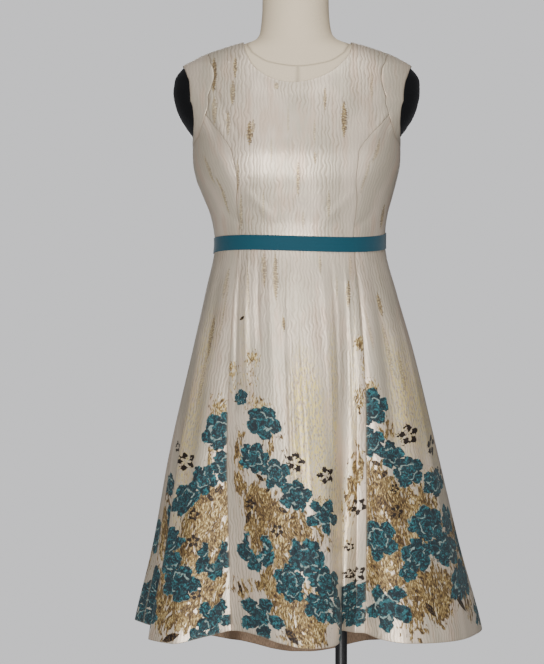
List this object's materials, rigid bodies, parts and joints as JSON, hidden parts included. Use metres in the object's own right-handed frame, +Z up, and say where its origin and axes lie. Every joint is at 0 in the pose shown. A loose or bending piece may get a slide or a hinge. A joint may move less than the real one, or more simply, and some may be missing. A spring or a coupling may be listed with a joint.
{
  "type": "sleeveless dress on a dress form",
  "caption": "Sleeveless princess-line jacquard dress with a plain waistband and a flared, folded skirt, longer behind, worn by a limbless dress form on a pole stand.",
  "frame": {"origin": "middle of the stand base's underside, on the pole's axis and on the floor", "axes": "+Z up; the front of the dress faces -Y; +X is the viewer's right seen from the front"},
  "size_m": [0.5915, 0.5018, 1.5],
  "materials": {
    "jacquard": "satin jacquard, champagne ground",
    "ribbon": "matt teal",
    "linen": "matt woven cover",
    "black_plates": "gloss black",
    "black_enamel": "satin black",
    "zip_metal": "satin"
  },
  "bodies": {
    "dress_and_form": {"bodice_front_centre": "jacquard", "bodice_front_side_left": "jacquard", "bodice_front_side_right": "jacquard", "armhole_band_left": "jacquard", "armhole_band_right": "jacquard", "bodice_back_left": "jacquard", "bodice_back_right": "jacquard", "bodice_back_side_left": "jacquard", "bodice_back_side_right": "jacquard", "skirt_front_centre": "jacquard", "skirt_front_side_left": "jacquard", "skirt_front_side_right": "jacquard", "skirt_back_left": "jacquard", "skirt_back_right": "jacquard", "skirt_back_side_left": "jacquard", "skirt_back_side_right": "jacquard", "waistband": "ribbon", "form_torso": "linen", "form_neck": "linen", "arm_plate_left": "black_plates", "arm_plate_right": "black_plates", "stand_base": "black_enamel", "stand_pole": "black_enamel", "stand_flange": "black_enamel", "zip_slider": "zip_metal"},
    "zip_pull": {"zip_pull": "zip_metal"}
  },
  "joints": [
    {"name": "zip_pull_hinge", "type": "hinge", "parent": "dress_and_form", "child": "zip_pull", "pos_m": [-0.074, 0.10624, 1.37308], "axis": [1, 0, 0], "range_deg": [0, 150]}
  ]
}
